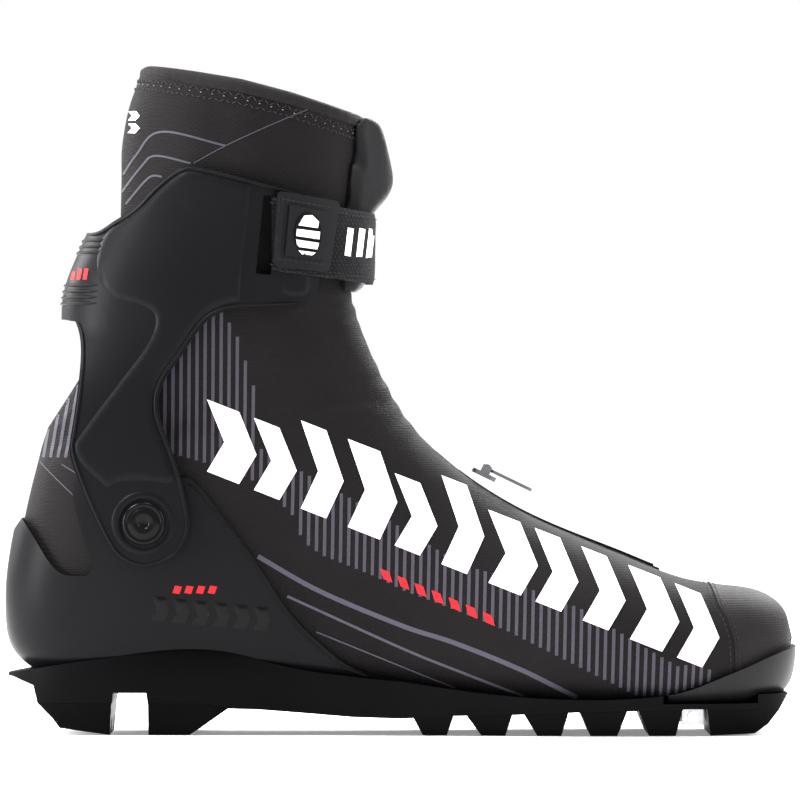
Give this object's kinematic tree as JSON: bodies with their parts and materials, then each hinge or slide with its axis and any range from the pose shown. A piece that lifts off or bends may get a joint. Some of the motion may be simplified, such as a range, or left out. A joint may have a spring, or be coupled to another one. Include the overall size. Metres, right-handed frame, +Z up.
{
  "type": "cross country skating ski boot",
  "caption": "Right skating boot for cross country skiing: softshell upper on a stiff sole, hinged plastic ankle cuff, instep zip and hook-and-loop strap.",
  "frame": {"origin": "middle of the boot's footprint, on the ground under the tread", "axes": "+X towards the toe, +Y towards the inner side of this right boot, +Z up"},
  "size_m": [0.2997, 0.097, 0.2531],
  "materials": {
    "softshell": "matte stretch weave",
    "lining_foam": "brushed knit over foam",
    "stiffener": "raw sheet",
    "board": "fibre board",
    "footbed_foam": "knit on foam",
    "shell_plastic": "fine matte moulding",
    "sole_plastic": "satin moulding",
    "tread_rubber": "matte rubber",
    "rand_rubber": "satin rubber",
    "steel": "brushed",
    "plate_composite": "fibre composite",
    "pad_foam": "cell foam",
    "cap_plastic": "gloss",
    "bush_plastic": "plain",
    "webbing": "loop pile",
    "hook_tape": "hook pile",
    "patch_rubber": "matte rubber",
    "tongue_cloth": "smooth coated cloth",
    "zip_cloth": "woven tape",
    "zip_plastic": "moulded",
    "zip_metal": "dark enamel",
    "cord": "braided cord"
  },
  "bodies": {
    "boot": {"softshell_upper": "softshell", "toe_cap_panel": "softshell", "ankle_flex": "softshell", "heel_counter": "stiffener", "toe_puff": "stiffener", "foot_lining": "lining_foam", "insole_board": "board", "footbed": "footbed_foam", "foot_tongue": "lining_foam", "lace": "cord", "heel_cup": "shell_plastic", "sole_frame": "sole_plastic", "midsole_plate": "plate_composite", "heel_pad": "pad_foam", "forefoot_lugs": "tread_rubber", "heel_tread_rear": "tread_rubber", "heel_tread_front": "tread_rubber", "toe_tread": "tread_rubber", "toe_rand": "rand_rubber", "toe_bar": "steel", "toe_bar_brackets": "steel", "pivot_rivets": "steel", "pivot_caps": "cap_plastic", "pivot_washers": "bush_plastic", "zip_tape": "zip_cloth", "zip_teeth": "zip_plastic"},
    "cuff": {"cuff_shell": "shell_plastic", "collar_sleeve": "softshell", "collar_lining": "lining_foam", "collar_hem": "softshell", "shin_tongue": "tongue_cloth", "strap": "webbing", "strap_patch": "patch_rubber", "patch_badge": "cap_plastic"},
    "strap_tail": {"strap_tail": "webbing", "strap_hook_pad": "hook_tape"},
    "zip_slider": {"zip_slider": "zip_metal"},
    "zip_pull": {"zip_pull": "zip_metal"}
  },
  "joints": [
    {"name": "cuff_hinge", "type": "hinge", "parent": "boot", "child": "cuff", "pos_m": [-0.0965, 0, 0.08], "axis": [0, 1, 0], "range_deg": [-8, 17], "stiffness_Nm_per_rad": 4, "deforming": ["ankle_flex"]},
    {"name": "strap_tail_peel", "type": "hinge", "parent": "cuff", "child": "strap_tail", "pos_m": [-0.05, 0.0478, 0.188], "axis": [0, 0, 1], "range_deg": [0, 60]},
    {"name": "zip_slide", "type": "slide", "parent": "boot", "child": "zip_slider", "axis": [0.9003, 0, -0.4352], "range_m": [0, 0.058]},
    {"name": "zip_pull_hinge", "type": "hinge", "parent": "zip_slider", "child": "zip_pull", "pos_m": [0.03248, 0.01, 0.10006], "axis": [0, -1, 0], "range_deg": [0, 140]}
  ]
}
